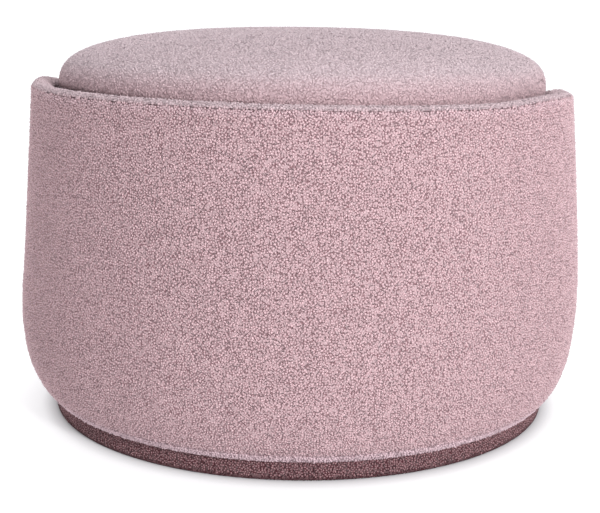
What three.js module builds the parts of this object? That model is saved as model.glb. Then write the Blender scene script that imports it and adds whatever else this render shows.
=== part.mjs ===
// A round pouf in boucle cloth: a filled drum on a set-in plinth, with a loose seat cushion in its top.
// Millimetres, +Z up. The origin is the centre of the plinth's underside.
import * as THREE from "three";

const ROUND_STEPS = 72; // facets around every piece
const GAP = 0.3; // between two pieces that touch
const STEPS = { foot: 3, edge: 2, lip: 3, seam: 2, rim: 3, wall: 18, crown: 14 }; // along each profile

// Plinth: a cloth-covered disc, set in under the body
const PLINTH = { radius: 267.5, height: 19.6, footRounding: 2.5, topRounding: 1.5 };

// Body: sections of the wall from the lip up, and how far each one's centre drifts towards +X
const WALL = [
  { height: 21.2, radius: 274.6, drift: 0.1 },
  { height: 38, radius: 286.8, drift: -0.4 },
  { height: 64, radius: 295.7, drift: -0.9 },
  { height: 95, radius: 299.5, drift: -0.8 },
  { height: 125, radius: 300, drift: 0.1 },
  { height: 165, radius: 297.4, drift: 1.2 },
  { height: 245, radius: 291.4, drift: 1.3 },
  { height: 334, radius: 284, drift: 0.6 },
];
const LIP = { rounding: 3.5, wallNormalDeg: -38 };
const HEM_HEIGHT = 26.5; // the sewn channel above the turned-under lip
const CHANNEL = { depth: 1.2, halfWidth: 1.5 };

// Rim: the centres of its two roundings, and the seam where the wall's panel meets the facing
const RIM_OUTER = { radius: 276, height: 334, rounding: 8 };
const RIM_INNER = { radius: 268, height: 333.3, rounding: 7 };
const SEAM_DEG = 23; // the seam's place on the outer rounding, up from the horizontal
const SEAM_SIDE_DEG = 12; // how far the pulled-in seam reaches to each side
const SEAM_GAP_DEG = 6; // opens the gap between the two panels at the seam
const FACING_THICKNESS = 3;
const RIM_TILT = 3.2; // the rim stands this much higher at -X than its mean, and lower at +X
// Places where the padded rim stands up or sags: azimuth from +X towards +Y, and the reach to each side
const RIM_WAVES = [
  { azimuthDeg: -30, reachDeg: 26, rise: 4 },
  { azimuthDeg: 18, reachDeg: 18, rise: -14 },
  { azimuthDeg: 180, reachDeg: 22, rise: 2 },
  { azimuthDeg: 160, reachDeg: 24, rise: -7 },
];
const WAVE_FOOT = 325; // above this height the whole rim moves, and below it the cloth takes up the difference

// Recess and seat cushion
const RECESS_HEIGHT = 300; // the floor that the cushion lies on
const SEAT = { radius: 256, widestHeight: 338.7, crownHeight: 401, shift: 0.5 };
const SEAT_SIDE = { baseRounding: 14, bulge: 5 };
const CROWN = { acrossPower: 2.3, upPower: 3.1 }; // powers over 2 square its shoulder up

const COLOURS = { wall: 0xc7a7ac, plinth: 0xa98a8f, facing: 0xcdb6bc, seat: 0xcbb3ba };

const point = (radius, height) => new THREE.Vector2(radius, height);
const radians = THREE.MathUtils.degToRad;

// A point on a round corner, at an angle about its centre.
function around(corner, rounding, degrees) {
  const angle = radians(degrees);
  return point(corner.radius + rounding * Math.cos(angle), corner.height + rounding * Math.sin(angle));
}

// Points on a round corner from one angle to another, both ends included.
function arc(corner, rounding, fromDeg, toDeg, steps) {
  return Array.from({ length: steps + 1 }, (_, i) =>
    around(corner, rounding, fromDeg + ((toDeg - fromDeg) * i) / steps),
  );
}

// A column of the wall's table as one smooth curve over height.
const columnCurve = (column) => new THREE.SplineCurve(WALL.map((row) => point(row[column], row.height)));
const radiusCurve = columnCurve("radius");
const driftCurve = columnCurve("drift");

// The curve's value at a height, found by halving, since the height only grows along it.
const HALVINGS = 30;
function valueAt(curve, height) {
  let low = 0;
  let high = 1;
  for (let i = 0; i < HALVINGS; i += 1) {
    const middle = (low + high) / 2;
    if (curve.getPoint(middle).y < height) low = middle;
    else high = middle;
  }
  return curve.getPoint(low).x;
}

// Turns a profile of radii and heights about the vertical axis, with its faces outwards.
const turned = (profile) => new THREE.LatheGeometry(profile, ROUND_STEPS).rotateX(Math.PI / 2);

// How far the rim stands above its plane in the direction of a point.
function wave(x, y) {
  let rise = 0;
  for (const { azimuthDeg, reachDeg, rise: most } of RIM_WAVES) {
    const turn = Math.atan2(y, x) - radians(azimuthDeg);
    const away = Math.abs(Math.atan2(Math.sin(turn), Math.cos(turn))) / radians(reachDeg);
    if (away < 1) rise += most * Math.cos((away * Math.PI) / 2) ** 2;
  }
  return rise;
}

// Moves each point sideways with the wall's drift, and tilts and waves what lies above the recess floor.
function settled(geometry) {
  const position = geometry.getAttribute("position");
  const rimHeight = RIM_OUTER.height + RIM_OUTER.rounding;
  const rimRadius = RIM_OUTER.radius + RIM_OUTER.rounding;
  const { mapLinear, clamp } = THREE.MathUtils;
  const still = RECESS_HEIGHT + GAP;
  for (let i = 0; i < position.count; i += 1) {
    const [x, y, z] = [position.getX(i), position.getY(i), position.getZ(i)];
    const tilted = clamp(mapLinear(z, still, rimHeight, 0, 1), 0, 1);
    const waved = clamp(mapLinear(z, still, WAVE_FOOT, 0, 1), 0, 1);
    const rise = waved * wave(x, y) - (RIM_TILT * tilted * x) / rimRadius;
    position.setXYZ(i, x + valueAt(driftCurve, z), y, z + rise);
  }
  geometry.computeVertexNormals();
  return geometry;
}

function plinthProfile() {
  const { radius, height, footRounding, topRounding } = PLINTH;
  const foot = { radius: radius - footRounding, height: footRounding };
  const top = { radius: radius - topRounding, height: height - topRounding };
  return [
    point(0, 0),
    ...arc(foot, footRounding, -90, 0, STEPS.foot),
    ...arc(top, topRounding, 0, 90, STEPS.edge),
    point(0, height),
  ];
}

// The wall from the lip's rounding to the rim's, with the hem's channel pulled in.
function wallPoints() {
  const channelFoot = HEM_HEIGHT - CHANNEL.halfWidth;
  const channelTop = HEM_HEIGHT + CHANNEL.halfWidth;
  const rise = Array.from({ length: STEPS.wall }, (_, i) => {
    const height = channelTop + ((RIM_OUTER.height - channelTop) * i) / STEPS.wall;
    return point(valueAt(radiusCurve, height), height);
  });
  return [
    point(valueAt(radiusCurve, channelFoot), channelFoot),
    point(valueAt(radiusCurve, HEM_HEIGHT) - CHANNEL.depth, HEM_HEIGHT),
    ...rise,
  ];
}

function bodyProfile() {
  const underside = PLINTH.height + GAP;
  const lip = {
    radius: WALL[0].radius - LIP.rounding * Math.cos(radians(LIP.wallNormalDeg)),
    height: underside + LIP.rounding,
  };
  const seamDeg = SEAM_DEG - SEAM_GAP_DEG;
  const under = FACING_THICKNESS + GAP;
  return [
    point(0, underside),
    ...arc(lip, LIP.rounding, -90, LIP.wallNormalDeg, STEPS.lip),
    ...wallPoints(),
    ...arc(RIM_OUTER, RIM_OUTER.rounding, 0, SEAM_DEG - SEAM_SIDE_DEG, STEPS.seam),
    around(RIM_OUTER, RIM_OUTER.rounding - CHANNEL.depth, seamDeg),
    ...arc(RIM_OUTER, RIM_OUTER.rounding - under, seamDeg, 90, STEPS.seam),
    ...arc(RIM_INNER, RIM_INNER.rounding - under, 90, 180, STEPS.rim),
    point(RIM_INNER.radius - RIM_INNER.rounding + under, RECESS_HEIGHT),
    point(0, RECESS_HEIGHT),
  ];
}

// A closed ring section: over the rim from the seam, then down inside it to the recess floor.
function facingProfile() {
  const foot = RECESS_HEIGHT + GAP;
  const innerRadius = RIM_INNER.radius - RIM_INNER.rounding;
  return [
    point(innerRadius + FACING_THICKNESS, foot),
    ...arc(RIM_INNER, RIM_INNER.rounding - FACING_THICKNESS, 180, 90, STEPS.rim),
    ...arc(RIM_OUTER, RIM_OUTER.rounding - FACING_THICKNESS, 90, SEAM_DEG, STEPS.seam),
    around(RIM_OUTER, RIM_OUTER.rounding - CHANNEL.depth, SEAM_DEG),
    ...arc(RIM_OUTER, RIM_OUTER.rounding, SEAM_DEG + SEAM_SIDE_DEG, 90, STEPS.seam),
    ...arc(RIM_INNER, RIM_INNER.rounding, 90, 180, STEPS.rim),
    point(innerRadius, foot),
    point(innerRadius + FACING_THICKNESS, foot),
  ];
}

// The side bulges out from the base, and the crown is a squared-up ellipse in section.
function seatProfile() {
  const base = RECESS_HEIGHT + GAP;
  const { baseRounding, bulge } = SEAT_SIDE;
  const corner = { radius: SEAT.radius - bulge - baseRounding, height: base + baseRounding };
  const side = [1 / 3, 2 / 3].map((share) =>
    point(
      SEAT.radius - bulge * Math.cos((share * Math.PI) / 2),
      THREE.MathUtils.lerp(corner.height, SEAT.widestHeight, share),
    ),
  );
  const crown = Array.from({ length: STEPS.crown }, (_, i) => {
    const angle = ((i / STEPS.crown) * Math.PI) / 2;
    const across = Math.cos(angle) ** (2 / CROWN.acrossPower);
    const up = Math.sin(angle) ** (2 / CROWN.upPower);
    return point(SEAT.radius * across, THREE.MathUtils.lerp(SEAT.widestHeight, SEAT.crownHeight, up));
  });
  const foot = arc(corner, baseRounding, -90, 0, STEPS.foot);
  return [point(0, base), ...foot, ...side, ...crown, point(0, SEAT.crownHeight)];
}

function piece(name, geometry, colour) {
  const material = new THREE.MeshStandardMaterial({ color: colour, roughness: 1, metalness: 0 });
  const mesh = new THREE.Mesh(geometry, material);
  mesh.name = name;
  return mesh;
}

const pouf = new THREE.Group();
pouf.add(piece("plinth", turned(plinthProfile()), COLOURS.plinth));
pouf.add(piece("body", settled(turned(bodyProfile())), COLOURS.wall));
pouf.add(piece("rim_facing", settled(turned(facingProfile())), COLOURS.facing));

const seat = piece("seat_cushion", turned(seatProfile()), COLOURS.seat);
seat.position.x = SEAT.shift;
pouf.add(seat);

export default pouf;
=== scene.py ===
"""Dresses the boucle pouf: curly pile on every cover, sewn channels at rim and lip, light and camera."""
import math

import bmesh
import bpy
import numpy as np
from mathutils import Matrix, Vector


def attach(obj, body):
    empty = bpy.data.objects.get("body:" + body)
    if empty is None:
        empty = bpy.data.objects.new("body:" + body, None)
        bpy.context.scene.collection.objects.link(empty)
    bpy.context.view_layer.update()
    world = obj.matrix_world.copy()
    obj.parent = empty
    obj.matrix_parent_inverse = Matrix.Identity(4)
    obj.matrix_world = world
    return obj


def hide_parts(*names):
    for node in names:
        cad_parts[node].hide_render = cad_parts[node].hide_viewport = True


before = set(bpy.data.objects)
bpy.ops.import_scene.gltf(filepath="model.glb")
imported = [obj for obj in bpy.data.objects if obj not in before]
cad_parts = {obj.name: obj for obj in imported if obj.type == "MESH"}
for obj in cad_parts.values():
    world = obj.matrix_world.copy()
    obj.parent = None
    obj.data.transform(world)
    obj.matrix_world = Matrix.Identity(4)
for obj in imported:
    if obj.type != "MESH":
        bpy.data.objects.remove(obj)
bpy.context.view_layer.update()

MM = 0.001

# Sizes in millimetres, the same as the solids have
GAP = 0.3
PLINTH = dict(radius=267.5, height=19.6, foot_rounding=2.5, top_rounding=1.5)
WALL = np.array(
    [  # height, radius, drift towards +X
        (21.2, 274.6, 0.1),
        (38, 286.8, -0.4),
        (64, 295.7, -0.9),
        (95, 299.5, -0.8),
        (125, 300, 0.1),
        (165, 297.4, 1.2),
        (245, 291.4, 1.3),
        (334, 284, 0.6),
    ]
)
LIP = dict(rounding=3.5, wall_normal=-38)
HEM_HEIGHT = 26.5
CHANNEL_HALF_WIDTH = 1.5
RIM_OUTER = dict(radius=276, height=334, rounding=8)
RIM_INNER = dict(radius=268, height=333.3, rounding=7)
SEAM_ANGLE = 23
FACING_THICKNESS = 3
RIM_TILT = 3.2
RIM_WAVES = (  # azimuth and reach in degrees, rise
    (-30, 26, 4),
    (18, 18, -14),
    (180, 22, 2),
    (160, 24, -7),
)
WAVE_FOOT = 325
RECESS_HEIGHT = 300
SEAT = dict(radius=256, widest_height=338.7, crown_height=401, shift=0.5)
SEAT_SIDE = dict(base_rounding=14, bulge=5)
CROWN = dict(across_power=2.3, up_power=3.1)

# Where the dressed covers differ from the solids: the pile nearly fills the rim's seam, whose side is in
# degrees, and leaves a line open above the hem. Their low nap paints both lines darker, as shade. Under the
# lip the pile begins at an angle on the rounding.
SEWN = dict(side=8, depth=0.1, nap=0.8)
HEM = dict(above=2, depth=1.6, nap=0.4, half_width=0.3)
LIP_PILE_START = -75

# How finely the covers are divided: millimetres between the rows of each stretch, and steps around
ROW = dict(
    wall=5,
    crown=5,
    hidden=20,
    plinth_foot=1.3,
    plinth_side=1.9,
    plinth_top=1.2,
    lip=1.2,
    rim=1.4,
    facing_outer=1.6,
    facing_crest=1.8,
    facing_inner=2.2,
    seat_foot=5,
    seat_side=4,
)
STEPS_AROUND = dict(plinth=384, wall=384, facing=384, seat=320)
DOUBLINGS = 6
MERGE = 0.02  # points nearer than this are one
CURVE_SAMPLES = dict(wall=24, crown=2000)  # between two rows of the wall's table, and along the whole crown

# How far the yarn turns to its paler tone of painted sheen, from 0 to 1
PAINTED_SHEEN = dict(lip=1, hem=0.8, rim=0.3, facing_outer=0.5, facing_inner=0.4)
SHOULDER_SHEEN = 3.5  # on the seat it is the sine of the turn towards the crown, times this, and 1 at most

# The relief and the pattern between the loops: sizes in millimetres
NOISE_MIDDLE = 0.5
CREVICE = dict(size=3.6, gain=12, detail=0.6, patch=4, patch_gain=7)
FINER = dict(share=0.8, shift=(0.31, 0.17, 0.23))  # the second net of crevices, its shift in metres
CURL = dict(size=3, reach=1.2)
CLUMP = 11
RELIEF = dict(sink=1.3, clumps=0.5)

# The loops: sizes in millimetres
LOOP = dict(length=4.6, width=3.2, height=1.4, foot=-0.1, bend=0.4, spacing=2.6)
LOOP_SIDES = 4
LOOP_SPACING = dict(plinth=2.0, body=1.98, rim_facing=2.2, seat_cushion=2.1)
LOOP_LIFT = dict(plinth=0.9, body=1.0, rim_facing=0.8, seat_cushion=0.7)
LOOP_LEAST = dict(across=0.75, up=0.5)
LOOP_MOST = dict(across=1.2, up=1.5)
LOOP_LEAN = 0.4  # radians to each side
LOOP_TRIES = 4  # points tried in a square as wide as the spacing
STANDING_NAP = 0.6  # a loop stands where the nap is above this
LOOP_SEED = dict(first=7, step=10)
SECTORS = dict(plinth=1, body=3, rim_facing=1, seat_cushion=2)  # how many pieces each pile is made in


class Value:
    """A number socket that adds Math nodes when an expression uses it."""

    def __init__(self, nodes, socket):
        self.nodes = nodes
        self.socket = socket

    def _math(self, operation, *values):
        return self.nodes.add("ShaderNodeMath", dict(operation=operation), dict(enumerate(values)))

    def __add__(self, other):
        return self._math("ADD", self, other)

    def __sub__(self, other):
        return self._math("SUBTRACT", self, other)

    def __rsub__(self, other):
        return self._math("SUBTRACT", other, self)

    def __mul__(self, other):
        return self._math("MULTIPLY", self, other)

    def __truediv__(self, other):
        return self._math("DIVIDE", self, other)

    def __pow__(self, other):
        return self._math("POWER", self, other)

    def __abs__(self):
        return self._math("ABSOLUTE", self)

    def clamped(self):
        return self.nodes.add("ShaderNodeClamp", {}, {"Value": self})

    def at_least(self, other):
        return self._math("MAXIMUM", self, other)


class Nodes:
    """Adds nodes to a material's tree or to a Geometry Nodes tree."""

    def __init__(self, tree):
        self.tree = tree

    def add(self, kind, settings, inputs, output=0):
        node = self.tree.nodes.new(kind)
        for name, value in settings.items():
            setattr(node, name, value)
        for name, value in inputs.items():
            if isinstance(value, Value):
                value = value.socket
            if isinstance(value, bpy.types.NodeSocket):
                self.tree.links.new(value, node.inputs[name])
            else:
                node.inputs[name].default_value = value
        return Value(self, node.outputs[output])

    def vector(self, operation, *values, output=0):
        inputs = {3 if operation == "SCALE" and i == 1 else i: value for i, value in enumerate(values)}
        return self.add("ShaderNodeVectorMath", dict(operation=operation), inputs, output)

    def noise(self, place, size, detail=0.0, output=0):
        """Noise with features about size millimetres apart."""
        inputs = {"Vector": place, "Scale": 1 / (size * MM), "Detail": detail, "Roughness": 0.5}
        return self.add("ShaderNodeTexNoise", {}, inputs, output)

    def mixed(self, share, first, second):
        """One colour turning into another with the share."""
        node = self.tree.nodes.new("ShaderNodeMix")
        node.data_type = "RGBA"
        for index, value in ((0, share), (6, first), (7, second)):
            if isinstance(value, Value):
                self.tree.links.new(value.socket, node.inputs[index])
            else:
                node.inputs[index].default_value = value
        return Value(self, node.outputs[2])


def curled(nodes, place):
    """The place, pushed about by a soft noise, so that what is drawn there comes out curly."""
    push = nodes.noise(place, CURL["size"], 1.0, output=1)
    push = nodes.vector("SUBTRACT", push, (NOISE_MIDDLE, NOISE_MIDDLE, NOISE_MIDDLE))
    push = nodes.vector("SCALE", push, CURL["reach"] * MM * 2)
    return nodes.vector("ADD", place, push)


def creases(nodes, place, size, gain):
    """0 along thin curved lines and 1 between them."""
    return (abs(nodes.noise(place, size, CREVICE["detail"]) - NOISE_MIDDLE) * gain).clamped()


def pile_height(nodes, place):
    """1 on the yarn, falling to 0 along short thin crevices between its curls."""
    curly = curled(nodes, place)
    aside = nodes.vector("ADD", curly, FINER["shift"])
    first = creases(nodes, curly, CREVICE["size"], CREVICE["gain"])
    second = creases(nodes, aside, CREVICE["size"] * FINER["share"], CREVICE["gain"] * FINER["share"])
    patches = nodes.noise(place, CREVICE["patch"])
    closed = ((patches - NOISE_MIDDLE) * CREVICE["patch_gain"]).clamped()
    return first.at_least(closed) * second.at_least(1 - closed)


def new_tree(name):
    tree = bpy.data.node_groups.new(name, "GeometryNodeTree")
    tree.interface.new_socket("Geometry", in_out="INPUT", socket_type="NodeSocketGeometry")
    tree.interface.new_socket("Geometry", in_out="OUTPUT", socket_type="NodeSocketGeometry")
    return tree


def relief_tree():
    """Keeps each point's first place in an attribute and sinks the point to its height in the pile."""
    tree = new_tree("relief")
    nodes = Nodes(tree)
    start = tree.nodes.new("NodeGroupInput")
    end = tree.nodes.new("NodeGroupOutput")
    place = nodes.add("GeometryNodeInputPosition", {}, {})
    stored = nodes.add(
        "GeometryNodeStoreNamedAttribute",
        dict(data_type="FLOAT_VECTOR", domain="POINT"),
        {"Geometry": start.outputs[0], "Name": "cloth", "Value": place},
    )
    clumps = nodes.noise(place, CLUMP, 1.0)
    nap = nodes.add("GeometryNodeInputNamedAttribute", dict(data_type="FLOAT"), {"Name": "nap"})
    height = ((clumps * 2 - 1) * RELIEF["clumps"] - RELIEF["sink"]) * nap
    normal = nodes.add("GeometryNodeInputNormal", {}, {})
    offset = nodes.vector("SCALE", normal, height * MM)
    moved = nodes.add("GeometryNodeSetPosition", {}, {"Geometry": stored, "Offset": offset})
    tree.links.new(moved.socket, end.inputs[0])
    return tree


def yarn_loop():
    """One curl of yarn: a low cone of few sides, longer than wide and bent, with its foot in the cloth."""
    bm = bmesh.new()
    bmesh.ops.create_cone(
        bm, cap_ends=True, cap_tris=False, segments=LOOP_SIDES, radius1=0.5, radius2=0, depth=1
    )
    for edge in bm.edges:
        edge.smooth = all(len(face.verts) == 3 for face in edge.link_faces)
    crest = bm.verts.layers.float.new("crest")
    for vert in bm.verts:
        across, along, up = vert.co.x, vert.co.y, vert.co.z + 0.5
        vert[crest] = up
        # along is 0.5 or -0.5 at the two ends, so four times its square is 1 there
        vert.co = Vector(
            (
                across * LOOP["width"] + along * along * LOOP["bend"] * 4,
                along * LOOP["length"],
                LOOP["foot"] + up * LOOP["height"],
            )
        ) * MM
    bmesh.ops.recalc_face_normals(bm, faces=bm.faces)
    mesh = bpy.data.meshes.new("yarn_loop")
    bm.to_mesh(mesh)
    bm.free()
    mesh.polygons.foreach_set("use_smooth", np.ones(len(mesh.polygons), bool))
    piece = bpy.data.objects.new("yarn_loop", mesh)
    bpy.context.scene.collection.objects.link(piece)
    return piece


def pile_tree(name, cover, loop, spacing, lift, seed, sectors, sector):
    """Sets yarn loops over the cover where its nap is up, in one sector of its round."""
    tree = new_tree(name)
    nodes = Nodes(tree)
    end = tree.nodes.new("NodeGroupOutput")
    ground = nodes.add("GeometryNodeObjectInfo", {}, {"Object": cover}, output=4)
    shape = nodes.add("GeometryNodeObjectInfo", {}, {"Object": loop}, output=4)
    nap = nodes.add("GeometryNodeInputNamedAttribute", dict(data_type="FLOAT"), {"Name": "nap"})
    standing = nodes.add("FunctionNodeCompare", dict(operation="GREATER_THAN"), {"A": nap, "B": STANDING_NAP})
    spread = tree.nodes.new("GeometryNodeDistributePointsOnFaces")
    spread.distribute_method = "POISSON"
    for socket, value in (("Mesh", ground), ("Selection", standing)):
        tree.links.new(value.socket, spread.inputs[socket])
    spread.inputs["Distance Min"].default_value = spacing * MM
    spread.inputs["Density Max"].default_value = LOOP_TRIES / (spacing * MM) ** 2
    spread.inputs["Seed"].default_value = seed
    points = Value(nodes, spread.outputs["Points"])
    rotation = Value(nodes, spread.outputs["Rotation"])
    if sectors > 1:
        place = nodes.add("GeometryNodeInputPosition", {}, {})
        parts = tree.nodes.new("ShaderNodeSeparateXYZ")
        tree.links.new(place.socket, parts.inputs[0])
        x, y = Value(nodes, parts.outputs[0]), Value(nodes, parts.outputs[1])
        turn = nodes.add("ShaderNodeMath", dict(operation="ARCTAN2"), {0: y, 1: x})
        index = (turn + math.pi) * (sectors / (2 * math.pi))
        index = nodes.add("ShaderNodeMath", dict(operation="FLOOR"), {0: index})
        here = nodes.add(
            "FunctionNodeCompare", dict(operation="EQUAL"), {"A": index, "B": float(sector), "Epsilon": 0.1}
        )
        points = nodes.add("GeometryNodeSeparateGeometry", {}, {"Geometry": points, "Selection": here})
    size = spacing / LOOP["spacing"]
    low, high = [
        (share["across"] * size, share["across"] * size, share["up"] * lift)
        for share in (LOOP_LEAST, LOOP_MOST)
    ]
    vectors = dict(data_type="FLOAT_VECTOR")
    scale = nodes.add("FunctionNodeRandomValue", vectors, {0: low, 1: high, "Seed": seed})
    first, last = (-LOOP_LEAN, -LOOP_LEAN, 0), (LOOP_LEAN, LOOP_LEAN, 2 * math.pi)
    twist = nodes.add("FunctionNodeRandomValue", vectors, {0: first, 1: last, "Seed": seed + 1})
    twist = nodes.add("FunctionNodeEulerToRotation", {}, {0: twist})
    rotation = nodes.add(
        "FunctionNodeRotateRotation", dict(rotation_space="LOCAL"), {"Rotation": rotation, "Rotate By": twist}
    )
    placed = nodes.add(
        "GeometryNodeInstanceOnPoints",
        {},
        {"Points": points, "Instance": shape, "Rotation": rotation, "Scale": scale},
    )
    real = nodes.add("GeometryNodeRealizeInstances", {}, {"Geometry": placed})
    tree.links.new(real.socket, end.inputs[0])
    return tree


def applied(piece):
    """Replaces the piece's mesh by the one its modifiers give."""
    graph = bpy.context.evaluated_depsgraph_get()
    mesh = bpy.data.meshes.new_from_object(
        piece.evaluated_get(graph), preserve_all_data_layers=True, depsgraph=graph
    )
    piece.modifiers.clear()
    old = piece.data
    piece.data = mesh
    bpy.data.meshes.remove(old)
    return piece


# A profile's rows are radius, height, nap and painted sheen. The nap is 1 where the pile stands and 0 where
# it is pressed flat or hidden; where it is low the cloth is also painted darker, as shade. The painted sheen
# is how far the yarn turns from its own tone to a paler tone, a painted sheen where the cloth faces up or
# turns over an edge.
NAP = 2  # its column in a profile


def point(radius, height, nap=1.0, bloom=0.0):
    return np.array([[radius, height, nap, bloom]], float)


def around(corner, rounding, degrees, nap=1.0, bloom=0.0):
    angle = math.radians(degrees)
    radius = corner["radius"] + rounding * math.cos(angle)
    return point(radius, corner["height"] + rounding * math.sin(angle), nap, bloom)


def arc(corner, rounding, start, end, spacing, nap=1.0, bloom=0.0):
    steps = max(1, math.ceil(abs(math.radians(end - start)) * rounding / spacing))
    angles = np.linspace(start, end, steps + 1)
    return np.vstack([around(corner, rounding, angle, nap, bloom) for angle in angles])


def line(first, last, spacing):
    """Points from the first to the last, the last one left out."""
    steps = max(1, math.ceil(np.linalg.norm(last - first) / spacing))
    shares = np.linspace(0, 1, steps, endpoint=False)[:, None]
    return first * (1 - shares) + last * shares


def smooth_wall():
    """The wall's table as a fine smooth curve through its rows: a cubic between each two of them."""
    rows = []
    last = len(WALL) - 1
    for i in range(last):
        before, here, there, after = (WALL[min(max(k, 0), last)] for k in (i - 1, i, i + 1, i + 2))
        leave, arrive = (there - before) / 2, (after - here) / 2
        for t in np.linspace(0, 1, CURVE_SAMPLES["wall"], endpoint=False):
            rows.append(
                (2 * t**3 - 3 * t**2 + 1) * here
                + (t**3 - 2 * t**2 + t) * leave
                + (3 * t**2 - 2 * t**3) * there
                + (t**3 - t**2) * arrive
            )
    return np.vstack([*rows, WALL[-1]])


FINE_WALL = smooth_wall()


def wall_radius(height):
    return np.interp(height, FINE_WALL[:, 0], FINE_WALL[:, 1])


def plinth_profile():
    radius, height = PLINTH["radius"], PLINTH["height"]
    foot = dict(radius=radius - PLINTH["foot_rounding"], height=PLINTH["foot_rounding"])
    top = dict(radius=radius - PLINTH["top_rounding"], height=height - PLINTH["top_rounding"])
    foot_arc = arc(foot, PLINTH["foot_rounding"], -90, 0, ROW["plinth_foot"])
    # No loops on the foot's rounding: its cloth is painted in shade, a dark line at the floor
    foot_arc[:, NAP] = 0
    top_arc = arc(top, PLINTH["top_rounding"], 0, 90, ROW["plinth_top"])
    top_arc[-1, NAP] = 0
    side = line(foot_arc[-1:], top_arc[:1], ROW["plinth_side"])
    side[:, NAP] = 1
    return np.vstack([point(0, 0, 0), foot_arc, side[1:], top_arc, point(0, height, 0)])


def wall_profile():
    underside = PLINTH["height"] + GAP
    rounding = LIP["rounding"]
    lip = dict(
        radius=WALL[0, 1] - rounding * math.cos(math.radians(LIP["wall_normal"])),
        height=underside + rounding,
    )
    hem = HEM_HEIGHT + HEM["above"]
    foot, top = hem - CHANNEL_HALF_WIDTH, hem + CHANNEL_HALF_WIDTH
    heights = np.linspace(top, RIM_OUTER["height"], round((RIM_OUTER["height"] - top) / ROW["wall"]))[:-1]
    rim_rounding = RIM_OUTER["rounding"]
    under = FACING_THICKNESS + GAP
    recess = RIM_INNER["radius"] - RIM_INNER["rounding"] + under
    return np.vstack(
        [
            point(0, underside, 0),
            around(lip, rounding, -90, 0),
            arc(lip, rounding, LIP_PILE_START, LIP["wall_normal"], ROW["lip"], bloom=PAINTED_SHEEN["lip"]),
            point(wall_radius(foot), foot, bloom=PAINTED_SHEEN["hem"]),
            point(wall_radius(hem) - HEM["depth"], hem - HEM["half_width"], HEM["nap"], PAINTED_SHEEN["hem"]),
            point(wall_radius(hem) - HEM["depth"], hem + HEM["half_width"], HEM["nap"]),
            np.column_stack([wall_radius(heights), heights, np.ones(len(heights)), np.zeros(len(heights))]),
            arc(RIM_OUTER, rim_rounding, 0, SEAM_ANGLE - SEWN["side"], ROW["rim"], bloom=PAINTED_SHEEN["rim"]),
            around(RIM_OUTER, rim_rounding - SEWN["depth"], SEAM_ANGLE, SEWN["nap"]),
            around(RIM_OUTER, rim_rounding - under, SEAM_ANGLE, 0),
            arc(RIM_INNER, RIM_INNER["rounding"] - under, 90, 180, ROW["hidden"], 0),
            point(recess, RECESS_HEIGHT, 0),
            point(0, RECESS_HEIGHT, 0),
        ]
    )


def facing_profile():
    foot = RECESS_HEIGHT + GAP
    inner = RIM_INNER["radius"] - RIM_INNER["rounding"]
    outer, crest = RIM_OUTER["rounding"], ROW["facing_crest"]
    start = SEAM_ANGLE + SEWN["side"]
    outer_arc = arc(RIM_OUTER, outer, start, 90, ROW["facing_outer"], bloom=PAINTED_SHEEN["facing_outer"])
    inner_arc = arc(RIM_INNER, RIM_INNER["rounding"], 90, 180, crest, bloom=PAINTED_SHEEN["facing_inner"])
    thin = RIM_INNER["rounding"] - FACING_THICKNESS
    return np.vstack(
        [
            point(inner + FACING_THICKNESS, foot, 0),
            arc(RIM_INNER, thin, 180, 90, ROW["hidden"], 0),
            around(RIM_OUTER, outer - FACING_THICKNESS, SEAM_ANGLE, 0),
            around(RIM_OUTER, outer - SEWN["depth"], SEAM_ANGLE, SEWN["nap"]),
            outer_arc[:-1],
            line(outer_arc[-1:], inner_arc[:1], crest),
            inner_arc[:-1],
            line(inner_arc[-1:], point(inner, foot), ROW["facing_inner"]),
            point(inner, foot),
        ]
    )


def seat_profile():
    base = RECESS_HEIGHT + GAP
    rounding, bulge = SEAT_SIDE["base_rounding"], SEAT_SIDE["bulge"]
    corner = dict(radius=SEAT["radius"] - bulge - rounding, height=base + rounding)
    widest = SEAT["widest_height"]
    shares = np.linspace(0, 1, round((widest - corner["height"]) / ROW["seat_side"]))[1:-1]
    side = np.column_stack(
        [
            SEAT["radius"] - bulge * np.cos(shares * math.pi / 2),
            corner["height"] + (widest - corner["height"]) * shares,
            np.ones(len(shares)),
            np.zeros(len(shares)),
        ]
    )
    angles = np.linspace(0, math.pi / 2, CURVE_SAMPLES["crown"])
    crown = np.column_stack(
        [
            SEAT["radius"] * np.cos(angles) ** (2 / CROWN["across_power"]),
            widest + (SEAT["crown_height"] - widest) * np.sin(angles) ** (2 / CROWN["up_power"]),
            np.ones(len(angles)),
            # painted sheen, paler towards the top of the crown
            np.clip(np.sin(angles) * SHOULDER_SHEEN, 0, 1),
        ]
    )
    crown[-1, 0] = 0
    foot = arc(corner, rounding, -90, 0, ROW["seat_foot"], 0)
    return np.vstack([point(0, base, 0), foot, side, even(crown, ROW["crown"])])


def even(curve, spacing):
    """The same curve with its points evenly apart."""
    reach = np.concatenate([[0], np.cumsum(np.linalg.norm(np.diff(curve, axis=0), axis=1))])
    places = np.linspace(0, reach[-1], round(reach[-1] / spacing) + 1)
    return np.column_stack([np.interp(places, reach, column) for column in curve.T])


def in_order(bm):
    """Lists edges and faces by their points, because a spin's own order changes and the loops follow it."""
    bm.verts.index_update()
    count = len(bm.verts)

    def rank(part):
        numbers = [vert.index for vert in part.verts]
        return min(numbers) * count + max(numbers)

    bm.edges.sort(key=rank)
    bm.faces.sort(key=rank)


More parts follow.
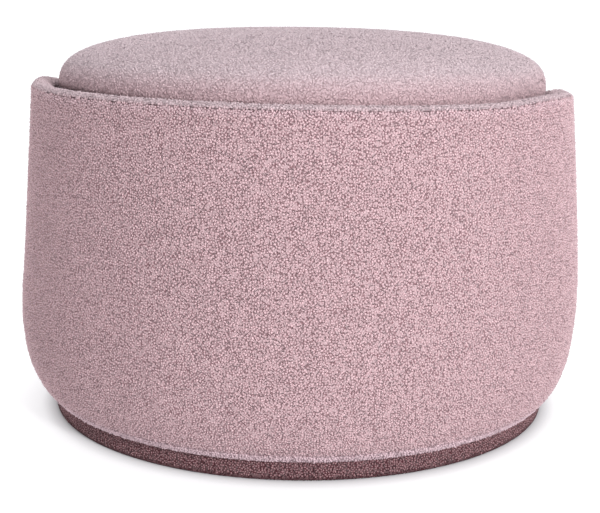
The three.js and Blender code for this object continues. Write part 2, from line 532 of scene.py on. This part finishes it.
def turned(name, profile, steps, closed=False):
    """A cover turned from its profile about the vertical axis: one narrow sector, doubled until whole."""
    sectors = 2**DOUBLINGS
    bm = bmesh.new()
    layers = [bm.verts.layers.float.new(name) for name in ("nap", "bloom")]
    verts = []
    # The rest of each row, the nap and the painted sheen, become attributes of the points
    for radius, height, *painted_light in profile:
        verts.append(bm.verts.new((radius * MM, 0, height * MM)))
        for layer, value in zip(layers, painted_light):
            verts[-1][layer] = value
    following = verts[1:] + verts[:1] if closed else verts[1:]
    edges = [bm.edges.new(pair) for pair in zip(verts, following)]
    bmesh.ops.spin(
        bm,
        geom=verts + edges,
        cent=(0, 0, 0),
        axis=(0, 0, 1),
        angle=2 * math.pi / sectors,
        steps=steps // sectors,
        use_merge=False,
        use_normal_flip=False,
        use_duplicate=False,
    )
    in_order(bm)
    for doubling in range(DOUBLINGS):
        copy = bmesh.ops.duplicate(bm, geom=bm.verts[:] + bm.edges[:] + bm.faces[:])["geom"]
        bmesh.ops.rotate(
            bm,
            verts=[part for part in copy if isinstance(part, bmesh.types.BMVert)],
            cent=(0, 0, 0),
            matrix=Matrix.Rotation(2 * math.pi / sectors * 2**doubling, 3, "Z"),
        )
    bmesh.ops.remove_doubles(bm, verts=bm.verts, dist=MERGE * MM)
    bmesh.ops.recalc_face_normals(bm, faces=bm.faces)
    mesh = bpy.data.meshes.new(name)
    bm.to_mesh(mesh)
    bm.free()
    mesh.polygons.foreach_set("use_smooth", np.ones(len(mesh.polygons), bool))
    piece = bpy.data.objects.new(name, mesh)
    bpy.context.scene.collection.objects.link(piece)
    return piece


def places_of(mesh):
    flat = np.empty(len(mesh.vertices) * 3, np.float32)
    mesh.vertices.foreach_get("co", flat)
    return flat.reshape(-1, 3).astype(float)


def put(mesh, places):
    mesh.vertices.foreach_set("co", places.astype(np.float32).ravel())
    mesh.update()


def wave(x, y):
    """How far the rim stands above its plane in the direction of each point."""
    azimuth = np.degrees(np.arctan2(y, x))
    rise = np.zeros(len(x))
    for centre, reach, most in RIM_WAVES:
        away = np.abs((azimuth - centre + 180) % 360 - 180) / reach
        rise += np.where(away < 1, most * np.cos(away * math.pi / 2) ** 2, 0)
    return rise


def settled(piece):
    """Moves points sideways with the wall's drift, and tilts and waves what lies above the recess floor."""
    places = places_of(piece.data) / MM
    x, y, height = places.T.copy()
    rim_height = RIM_OUTER["height"] + RIM_OUTER["rounding"]
    rim_radius = RIM_OUTER["radius"] + RIM_OUTER["rounding"]
    still = RECESS_HEIGHT + GAP
    tilted = np.clip((height - still) / (rim_height - still), 0, 1)
    waved = np.clip((height - still) / (WAVE_FOOT - still), 0, 1)
    places[:, 0] += np.interp(height, FINE_WALL[:, 0], FINE_WALL[:, 2])
    places[:, 2] += waved * wave(x, y) - RIM_TILT * tilted * x / rim_radius
    put(piece.data, places * MM)
    return piece


def fuzzy(nodes, colour, bump, sheen):
    """Ends a cloth material: rough, with a pale sheen of fibre where it is seen along its surface."""
    inputs = {
        "Base Color": colour,
        "Roughness": 0.95,
        "Specular IOR Level": 0.05,
        "Sheen Weight": sheen,
        "Sheen Roughness": 0.3,
        "Sheen Tint": (0.93, 0.86, 0.95, 1),
        "Normal": bump,
    }
    shader = nodes.add("ShaderNodeBsdfPrincipled", {}, inputs)
    end = nodes.tree.nodes.new("ShaderNodeOutputMaterial")
    nodes.tree.links.new(shader.socket, end.inputs[0])


def material_nodes(name):
    material = bpy.data.materials.new(name)
    material.use_nodes = True
    material.node_tree.nodes.clear()
    return material, Nodes(material.node_tree)


def times(tone, factor):
    return (*[min(1, channel * factor) for channel in tone], 1)


def deepened(tone, shares):
    """The tone of the painted shade between curls, which keeps another share of each channel."""
    return (*[channel * share for channel, share in zip(tone, shares)], 1)


# The cloth between the loops, and the loops. The fibres' size and the bump's depth are in millimetres. The
# rest
# are shares and gains: how much darker the sunk cloth is painted as shade, how dark and light the fibres are,
# what the painted shade leaves of each channel, how it sets in, its least where the nap is low, and how much
# of it the painted sheen takes away.
BETWEEN = dict(
    fibre=1.1,
    depth=1.8,
    fibre_depth=0.25,
    sunk_shade=0.45,
    dark=0.9,
    light=1.2,
    shaded=(0.3, 0.18, 0.2),
    shade_gain=1.3,
    low_nap_shade=0.5,
)
ON_TOP = dict(
    fibre=1.2,
    depth=0.6,
    fibre_gain=3,
    dark=0.78,
    light=1.22,
    shaded=(0.34, 0.17, 0.2),
    shade_start=0.08,
    shade_gain=2.2,
    bloom_share=0.55,
)


def yarn_colour(nodes, share, tone, painted_light, low, high):
    """The yarn with its fibres darker and lighter, in its own tone or in its paler tone of painted sheen."""
    bloom = nodes.add("ShaderNodeAttribute", dict(attribute_name="bloom"), {}, output=2)
    fresh = nodes.mixed(share, times(tone, low), times(tone, high))
    soft = nodes.mixed(share, times(painted_light, low), times(painted_light, high))
    return nodes.mixed(bloom, fresh, soft)


def boucle(name, tone, painted_light, contrast, sheen):
    """The cloth between the loops: curly yarn, pale on the curls, with painted warm shade between them."""
    material, nodes = material_nodes(name)
    cloth = nodes.add("ShaderNodeAttribute", dict(attribute_name="cloth"), {}, output=1)
    nap = nodes.add("ShaderNodeAttribute", dict(attribute_name="nap"), {}, output=2)
    height = pile_height(nodes, cloth)
    fibres = nodes.noise(cloth, BETWEEN["fibre"], 1.0)
    # Painted shade: the cloth under the loops is darker as a whole, the more so with more contrast
    low = 1 - BETWEEN["sunk_shade"] * contrast
    yarn = yarn_colour(nodes, fibres, tone, painted_light, low * BETWEEN["dark"], low * BETWEEN["light"])
    # Painted shade along the crevices between the curls
    shade = ((1 - height) * contrast * BETWEEN["shade_gain"]).clamped()
    # Painted shade where the nap is low: in the seam, the hem's channel, the hidden turns and the plinth's
    # foot
    shade = shade.at_least((1 - nap) * BETWEEN["low_nap_shade"])
    colour = nodes.mixed(shade, yarn, deepened(tone, BETWEEN["shaded"]))
    inputs = {
        "Strength": 1.0,
        "Distance": BETWEEN["depth"] * math.sqrt(contrast) * MM,
        "Height": height + fibres * BETWEEN["fibre_depth"],
    }
    fuzzy(nodes, colour, nodes.add("ShaderNodeBump", {}, inputs), sheen)
    return material


def loop_yarn(name, tone, painted_light, contrast, sheen):
    """The loops on top: painted shade towards each loop's foot, fine fibres, and a paler painted sheen with
    less shade.
    """
    material, nodes = material_nodes(name)
    place = nodes.add("ShaderNodeTexCoord", {}, {}, output=3)
    crest = nodes.add("ShaderNodeAttribute", dict(attribute_name="crest"), {}, output=2)
    bloom = nodes.add("ShaderNodeAttribute", dict(attribute_name="bloom"), {}, output=2)
    fibres = nodes.noise(place, ON_TOP["fibre"], 1.0)
    share = (fibres * ON_TOP["fibre_gain"] - 1).clamped()
    yarn = yarn_colour(nodes, share, tone, painted_light, ON_TOP["dark"], ON_TOP["light"])
    # Painted shade towards each loop's foot, less of it where the painted sheen is
    raised = ((crest - ON_TOP["shade_start"]) * ON_TOP["shade_gain"]).clamped()
    shade = (1 - raised) * (1 - bloom * ON_TOP["bloom_share"]) * contrast
    inputs = {"Strength": 1.0, "Distance": ON_TOP["depth"] * MM, "Height": fibres}
    colour = nodes.mixed(shade, yarn, deepened(tone, ON_TOP["shaded"]))
    fuzzy(nodes, colour, nodes.add("ShaderNodeBump", {}, inputs), sheen)
    return material


def dressed(piece, node, material):
    """Gives the cover its relief and material, and lets it stand for its solid."""
    modifier = piece.modifiers.new("relief", "NODES")
    modifier.node_group = relief_tree()
    applied(piece)
    piece.data.materials.clear()
    piece.data.materials.append(material)
    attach(piece, "root")
    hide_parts(node)
    return piece


def piled(name, cover, loop, material, spacing, lift, seed, sectors):
    """The loops that stand on a cover, in as many pieces as there are sectors."""
    for sector in range(sectors):
        label = name if sectors == 1 else f"{name}_{sector + 1}"
        piece = bpy.data.objects.new(label, bpy.data.meshes.new(label))
        bpy.context.scene.collection.objects.link(piece)
        modifier = piece.modifiers.new("pile", "NODES")
        modifier.node_group = pile_tree(label, cover, loop, spacing, lift, seed, sectors, sector)
        applied(piece)
        piece.data.materials.clear()
        piece.data.materials.append(material)
        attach(piece, "root")


# The yarn's tone, its paler tone of painted sheen, how deep the painted shade between its curls is, and its
# sheen
YARN = dict(
    # The plinth's tone is about half the body's: painted shade under the lip
    plinth=((0.275, 0.167, 0.177), (0.275, 0.167, 0.177), 1.2, 0.07),
    body=((0.54, 0.387, 0.41), (0.565, 0.425, 0.465), 0.63, 0.13),
    rim_facing=((0.48, 0.36, 0.383), (0.42, 0.35, 0.372), 0.35, 0.15),
    seat_cushion=((0.495, 0.357, 0.38), (0.445, 0.362, 0.385), 0.28, 0.17),
)
seat = turned("seat_cover", seat_profile(), STEPS_AROUND["seat"])
seat.data.transform(Matrix.Translation((SEAT["shift"] * MM, 0, 0)))
covers = {
    "plinth": turned("plinth_cover", plinth_profile(), STEPS_AROUND["plinth"]),
    "body": settled(turned("wall_cover", wall_profile(), STEPS_AROUND["wall"])),
    "rim_facing": settled(turned("facing_cover", facing_profile(), STEPS_AROUND["facing"], closed=True)),
    "seat_cushion": seat,
}
SLOTS = dict(
    plinth="plinth_boucle",
    body="wall_boucle",
    rim_facing="facing_boucle",
    seat_cushion="seat_boucle",
)
loop = yarn_loop()
for number, (node, cover) in enumerate(covers.items()):
    slot = SLOTS[node]
    dressed(cover, node, boucle(slot, *YARN[node]))
    piled(
        cover.name.replace("cover", "pile"),
        cover,
        loop,
        loop_yarn(slot.replace("boucle", "loops"), *YARN[node]),
        LOOP_SPACING[node],
        LOOP_LIFT[node],
        LOOP_SEED["first"] + LOOP_SEED["step"] * number,
        SECTORS[node],
    )
bpy.data.objects.remove(loop)


# The floor: a wide disc that turns up at its far edge, in metres, and its paper. The paper's own glow begins
# near the plinth, in millimetres from the middle, so the contact stays in shade.
FLOOR = dict(sides=96, radius=8, spread=6, rise=2.5)
PAPER = dict(
    shaded=(0.6, 0.6, 0.62, 1),
    lit=(0.38, 0.38, 0.38, 1),
    dark=(0, 0, 0, 1),
    glow=(0.98, 0.98, 1, 1),
    strength=0.72,
    glow_start=266,
    glow_width=18,
)


def floor():
    bm = bmesh.new()
    bmesh.ops.create_circle(bm, cap_ends=True, segments=FLOOR["sides"], radius=FLOOR["radius"])
    grown = bmesh.ops.extrude_edge_only(bm, edges=bm.edges[:])["geom"]
    ring = [part for part in grown if isinstance(part, bmesh.types.BMVert)]
    bmesh.ops.scale(bm, vec=(FLOOR["spread"], FLOOR["spread"], 1), verts=ring)
    bmesh.ops.translate(bm, vec=(0, 0, FLOOR["rise"]), verts=ring)
    in_order(bm)
    bmesh.ops.recalc_face_normals(bm, faces=bm.faces)
    mesh = bpy.data.meshes.new("floor")
    bm.to_mesh(mesh)
    bm.free()
    ground = bpy.data.objects.new("floor", mesh)
    bpy.context.scene.collection.objects.link(ground)
    material, nodes = material_nodes("floor_paper")
    place = nodes.add("ShaderNodeTexCoord", {}, {}, output=3)
    away = nodes.vector("LENGTH", place, output=1)
    glow = ((away - PAPER["glow_start"] * MM) / (PAPER["glow_width"] * MM)).clamped() ** 0.5
    inputs = {
        "Base Color": nodes.mixed(glow, PAPER["shaded"], PAPER["lit"]),
        "Emission Color": nodes.mixed(glow, PAPER["dark"], PAPER["glow"]),
        "Emission Strength": PAPER["strength"],
        "Roughness": 0.9,
        "Specular IOR Level": 0.0,
    }
    shader = nodes.add("ShaderNodeBsdfPrincipled", {}, inputs)
    finish = nodes.tree.nodes.new("ShaderNodeOutputMaterial")
    nodes.tree.links.new(shader.socket, finish.inputs[0])
    mesh.materials.append(material)


# Places and targets in metres, the camera's lens and sensor in millimetres, its angles in degrees
LIGHTS = (  # name, kind, place, target, energy, size
    ("overhead_light", "SUN", (0.1, 0.5, 3), (0, 0, 0), 2.9, dict(angle=math.radians(50))),
    ("key_light", "AREA", (1.3, -2.5, 1.2), (0, 0, 0.2), 72, dict(size=0.4)),
    ("front_light", "AREA", (-1.7, -2.4, 0.4), (0, 0, 0.1), 19, dict(size=0.4)),
    ("right_light", "AREA", (2.4, -1.3, 0.3), (0, 0, 0.1), 12, dict(size=0.5)),
    ("left_light", "AREA", (-2.3, 0.9, 0.5), (0, 0, 0.1), 11, dict(size=0.5)),
)
SKY = dict(colour=(0.97, 0.98, 1, 1), strength=0.18)
CAMERA = dict(lens=70, sensor=36, far=100, place=(0, -1.2614, 0.42106), down=12.05, roll=0.64)


def lamp(name, kind, place, target, energy, size):
    light = bpy.data.lights.new(name, kind)
    light.energy = energy
    for setting, value in size.items():
        setattr(light, setting, value)
    holder = bpy.data.objects.new(name, light)
    aim = (Vector(target) - Vector(place)).to_track_quat("-Z", "Y")
    holder.matrix_world = Matrix.Translation(place) @ aim.to_matrix().to_4x4()
    bpy.context.scene.collection.objects.link(holder)


def camera():
    lens = bpy.data.cameras.new("camera")
    lens.lens = CAMERA["lens"]
    lens.sensor_width = CAMERA["sensor"]
    lens.clip_end = CAMERA["far"]
    eye = bpy.data.objects.new("camera", lens)
    pitch, roll = math.radians(90 - CAMERA["down"]), math.radians(CAMERA["roll"])
    turn = Matrix.Rotation(pitch, 4, "X") @ Matrix.Rotation(roll, 4, "Z")
    eye.matrix_world = Matrix.Translation(CAMERA["place"]) @ turn
    bpy.context.scene.collection.objects.link(eye)
    bpy.context.scene.camera = eye


def sky():
    world = bpy.data.worlds.new("studio")
    world.use_nodes = True
    background = world.node_tree.nodes["Background"]
    background.inputs["Color"].default_value = SKY["colour"]
    background.inputs["Strength"].default_value = SKY["strength"]
    bpy.context.scene.world = world


floor()
sky()
for light in LIGHTS:
    lamp(*light)
camera()
bpy.context.scene.view_settings.view_transform = "Standard"
